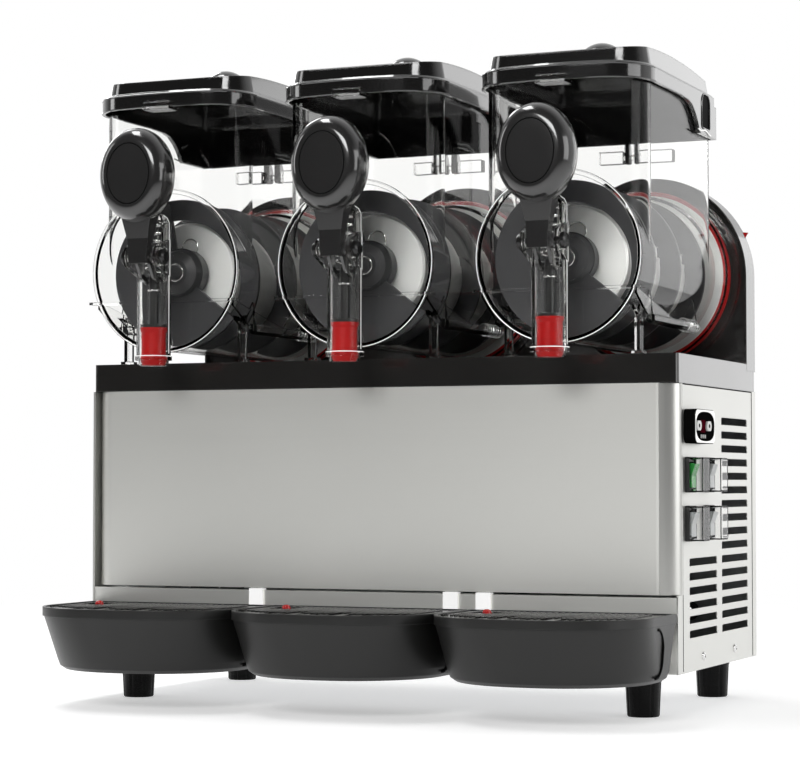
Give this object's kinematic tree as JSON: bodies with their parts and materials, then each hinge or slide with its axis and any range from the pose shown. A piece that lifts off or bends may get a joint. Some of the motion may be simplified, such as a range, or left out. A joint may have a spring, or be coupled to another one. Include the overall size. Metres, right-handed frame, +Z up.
{
  "type": "slush machine",
  "caption": "Counter-top frozen drink dispenser with clear bowls, turning scrapers, lever taps and drip trays.",
  "frame": {"origin": "middle of the machine's footprint box, at the underside of its feet", "axes": "+Z up, -Y towards the taps, +X towards the side with the controls"},
  "size_m": [0.5958, 0.4121, 0.606],
  "materials": {
    "satin_steel": "satin brushed",
    "panel_steel": "satin brushed",
    "zinc_steel": "zinc plated, dull",
    "bracket_white": "white enamel",
    "foot_rubber": "moulded, satin",
    "gloss_black": "gloss moulded",
    "lid_black": "high gloss moulded",
    "matte_black": "matt",
    "motor_grey": "dull painted",
    "red_rubber": "silicone, satin",
    "control_black": "gloss face",
    "switch_black": "fine matt",
    "clear_boot": "clear soft plastic",
    "compressor_black": "black paint",
    "fin_aluminium": "bare fins",
    "fan_plastic": "moulded",
    "key_white": "satin",
    "rocker_green": "translucent lens",
    "rocker_grey": "satin",
    "drum_steel": "satin, food grade",
    "scraper_plastic": "moulded",
    "clear_plastic": "clear, polished",
    "lever_black": "satin gloss",
    "pin_black": "gloss",
    "rod_black": "moulded",
    "tray_black": "fine grained",
    "grate_black": "satin",
    "red_plastic": "gloss"
  },
  "bodies": {
    "cabinet": {"base_pan": "zinc_steel", "feet": "foot_rubber", "front_panel": "satin_steel", "front_band": "satin_steel", "tray_brackets": "bracket_white", "side_panel_right": "panel_steel", "side_panel_left": "panel_steel", "back_panel": "zinc_steel", "cable_gland": "matte_black", "top_deck": "gloss_black", "rear_housing": "gloss_black", "rear_cover": "matte_black", "gearmotors": "motor_grey", "bowl_gaskets": "red_rubber", "thermostat": "control_black", "switch_bezels": "switch_black", "switch_covers": "clear_boot", "compressor": "compressor_black", "condenser": "fin_aluminium", "fan_motor": "motor_grey", "evaporator_1": "drum_steel", "evaporator_2": "drum_steel", "evaporator_3": "drum_steel"},
    "bowl_body_1": {"bowl_1": "clear_plastic", "tap_pin_1": "pin_black"},
    "lid_body_1": {"lid_1": "lid_black"},
    "lever_body_1": {"lever_1": "lever_black"},
    "plunger_body_1": {"plunger_1": "rod_black", "plunger_seal_1": "red_rubber"},
    "auger_body_1": {"auger_1": "scraper_plastic"},
    "tray_body_1": {"drip_tray_1": "tray_black"},
    "grate_body_1": {"drip_grate_1": "grate_black"},
    "float_body_1": {"float_1": "red_plastic"},
    "bowl_body_2": {"bowl_2": "clear_plastic", "tap_pin_2": "pin_black"},
    "lid_body_2": {"lid_2": "lid_black"},
    "lever_body_2": {"lever_2": "lever_black"},
    "plunger_body_2": {"plunger_2": "rod_black", "plunger_seal_2": "red_rubber"},
    "auger_body_2": {"auger_2": "scraper_plastic"},
    "tray_body_2": {"drip_tray_2": "tray_black"},
    "grate_body_2": {"drip_grate_2": "grate_black"},
    "float_body_2": {"float_2": "red_plastic"},
    "bowl_body_3": {"bowl_3": "clear_plastic", "tap_pin_3": "pin_black"},
    "lid_body_3": {"lid_3": "lid_black"},
    "lever_body_3": {"lever_3": "lever_black"},
    "plunger_body_3": {"plunger_3": "rod_black", "plunger_seal_3": "red_rubber"},
    "auger_body_3": {"auger_3": "scraper_plastic"},
    "tray_body_3": {"drip_tray_3": "tray_black"},
    "grate_body_3": {"drip_grate_3": "grate_black"},
    "float_body_3": {"float_3": "red_plastic"},
    "fan_body": {"fan_blade": "fan_plastic"},
    "key_front_body": {"key_front": "key_white"},
    "key_rear_body": {"key_rear": "key_white"},
    "rocker_body_1": {"rocker_1": "rocker_green"},
    "rocker_body_2": {"rocker_2": "rocker_grey"},
    "rocker_body_3": {"rocker_3": "rocker_grey"},
    "rocker_body_4": {"rocker_4": "rocker_grey"}
  },
  "joints": [
    {"name": "bowl_slide_1", "type": "slide", "parent": "cabinet", "child": "bowl_body_1", "axis": [0, -1, 0], "range_m": [0, 0.28]},
    {"name": "lid_hinge_1", "type": "hinge", "parent": "bowl_body_1", "child": "lid_body_1", "pos_m": [-0.20135, 0.1277, 0.513], "axis": [-1, 0, 0], "range_deg": [0, 95]},
    {"name": "lever_pull_1", "type": "hinge", "parent": "bowl_body_1", "child": "lever_body_1", "pos_m": [-0.20135, -0.136, 0.41], "axis": [1, 0, 0], "range_deg": [0, 35], "stiffness_Nm_per_rad": 0.8, "springref_deg": -20.05},
    {"name": "plunger_lift_1", "type": "slide", "parent": "bowl_body_1", "child": "plunger_body_1", "axis": [0, 0, 1], "range_m": [0, 0.0131]},
    {"name": "auger_turn_1", "type": "hinge", "parent": "cabinet", "child": "auger_body_1", "pos_m": [-0.20135, -0.006, 0.4005], "axis": [0, 1, 0], "continuous": true},
    {"name": "tray_slide_1", "type": "slide", "parent": "cabinet", "child": "tray_body_1", "axis": [0, -1, 0], "range_m": [0, 0.16]},
    {"name": "grate_lift_1", "type": "slide", "parent": "tray_body_1", "child": "grate_body_1", "axis": [0, 0, 1], "range_m": [0, 0.06]},
    {"name": "float_rise_1", "type": "slide", "parent": "tray_body_1", "child": "float_body_1", "axis": [0, 0, 1], "range_m": [0, 0.012]},
    {"name": "bowl_slide_2", "type": "slide", "parent": "cabinet", "child": "bowl_body_2", "axis": [0, -1, 0], "range_m": [0, 0.28]},
    {"name": "lid_hinge_2", "type": "hinge", "parent": "bowl_body_2", "child": "lid_body_2", "pos_m": [-0.00785, 0.1277, 0.513], "axis": [-1, 0, 0], "range_deg": [0, 95]},
    {"name": "lever_pull_2", "type": "hinge", "parent": "bowl_body_2", "child": "lever_body_2", "pos_m": [-0.00785, -0.136, 0.41], "axis": [1, 0, 0], "range_deg": [0, 35], "stiffness_Nm_per_rad": 0.8, "springref_deg": -20.05},
    {"name": "plunger_lift_2", "type": "slide", "parent": "bowl_body_2", "child": "plunger_body_2", "axis": [0, 0, 1], "range_m": [0, 0.0131]},
    {"name": "auger_turn_2", "type": "hinge", "parent": "cabinet", "child": "auger_body_2", "pos_m": [-0.00785, -0.006, 0.4005], "axis": [0, 1, 0], "continuous": true},
    {"name": "tray_slide_2", "type": "slide", "parent": "cabinet", "child": "tray_body_2", "axis": [0, -1, 0], "range_m": [0, 0.16]},
    {"name": "grate_lift_2", "type": "slide", "parent": "tray_body_2", "child": "grate_body_2", "axis": [0, 0, 1], "range_m": [0, 0.06]},
    {"name": "float_rise_2", "type": "slide", "parent": "tray_body_2", "child": "float_body_2", "axis": [0, 0, 1], "range_m": [0, 0.012]},
    {"name": "bowl_slide_3", "type": "slide", "parent": "cabinet", "child": "bowl_body_3", "axis": [0, -1, 0], "range_m": [0, 0.28]},
    {"name": "lid_hinge_3", "type": "hinge", "parent": "bowl_body_3", "child": "lid_body_3", "pos_m": [0.18565, 0.1277, 0.513], "axis": [-1, 0, 0], "range_deg": [0, 95]},
    {"name": "lever_pull_3", "type": "hinge", "parent": "bowl_body_3", "child": "lever_body_3", "pos_m": [0.18565, -0.136, 0.41], "axis": [1, 0, 0], "range_deg": [0, 35], "stiffness_Nm_per_rad": 0.8, "springref_deg": -20.05},
    {"name": "plunger_lift_3", "type": "slide", "parent": "bowl_body_3", "child": "plunger_body_3", "axis": [0, 0, 1], "range_m": [0, 0.0131]},
    {"name": "auger_turn_3", "type": "hinge", "parent": "cabinet", "child": "auger_body_3", "pos_m": [0.18565, -0.006, 0.4005], "axis": [0, 1, 0], "continuous": true},
    {"name": "tray_slide_3", "type": "slide", "parent": "cabinet", "child": "tray_body_3", "axis": [0, -1, 0], "range_m": [0, 0.16]},
    {"name": "grate_lift_3", "type": "slide", "parent": "tray_body_3", "child": "grate_body_3", "axis": [0, 0, 1], "range_m": [0, 0.06]},
    {"name": "float_rise_3", "type": "slide", "parent": "tray_body_3", "child": "float_body_3", "axis": [0, 0, 1], "range_m": [0, 0.012]},
    {"name": "fan_spin", "type": "hinge", "parent": "cabinet", "child": "fan_body", "pos_m": [-0.22485, 0.074, 0.135], "axis": [1, 0, 0], "continuous": true},
    {"name": "key_press_front", "type": "slide", "parent": "cabinet", "child": "key_front_body", "axis": [-1, 0, 0], "range_m": [0, 0.001], "stiffness_N_per_m": 800, "springref_m": -0.001},
    {"name": "key_press_rear", "type": "slide", "parent": "cabinet", "child": "key_rear_body", "axis": [-1, 0, 0], "range_m": [0, 0.001], "stiffness_N_per_m": 800, "springref_m": -0.001},
    {"name": "rocker_tilt_1", "type": "hinge", "parent": "cabinet", "child": "rocker_body_1", "pos_m": [0.28215, -0.029, 0.2106], "axis": [0, -1, 0], "range_deg": [0, 18]},
    {"name": "rocker_tilt_2", "type": "hinge", "parent": "cabinet", "child": "rocker_body_2", "pos_m": [0.28215, 0.029, 0.2106], "axis": [0, -1, 0], "range_deg": [0, 18]},
    {"name": "rocker_tilt_3", "type": "hinge", "parent": "cabinet", "child": "rocker_body_3", "pos_m": [0.28215, -0.029, 0.168], "axis": [0, -1, 0], "range_deg": [0, 18]},
    {"name": "rocker_tilt_4", "type": "hinge", "parent": "cabinet", "child": "rocker_body_4", "pos_m": [0.28215, 0.029, 0.168], "axis": [0, -1, 0], "range_deg": [0, 18]}
  ],
  "couplings": [
    {"joint": "plunger_lift_1", "follows": "lever_pull_1", "m_per_rad": 0.0213},
    {"joint": "plunger_lift_2", "follows": "lever_pull_2", "m_per_rad": 0.0213},
    {"joint": "plunger_lift_3", "follows": "lever_pull_3", "m_per_rad": 0.0213}
  ]
}
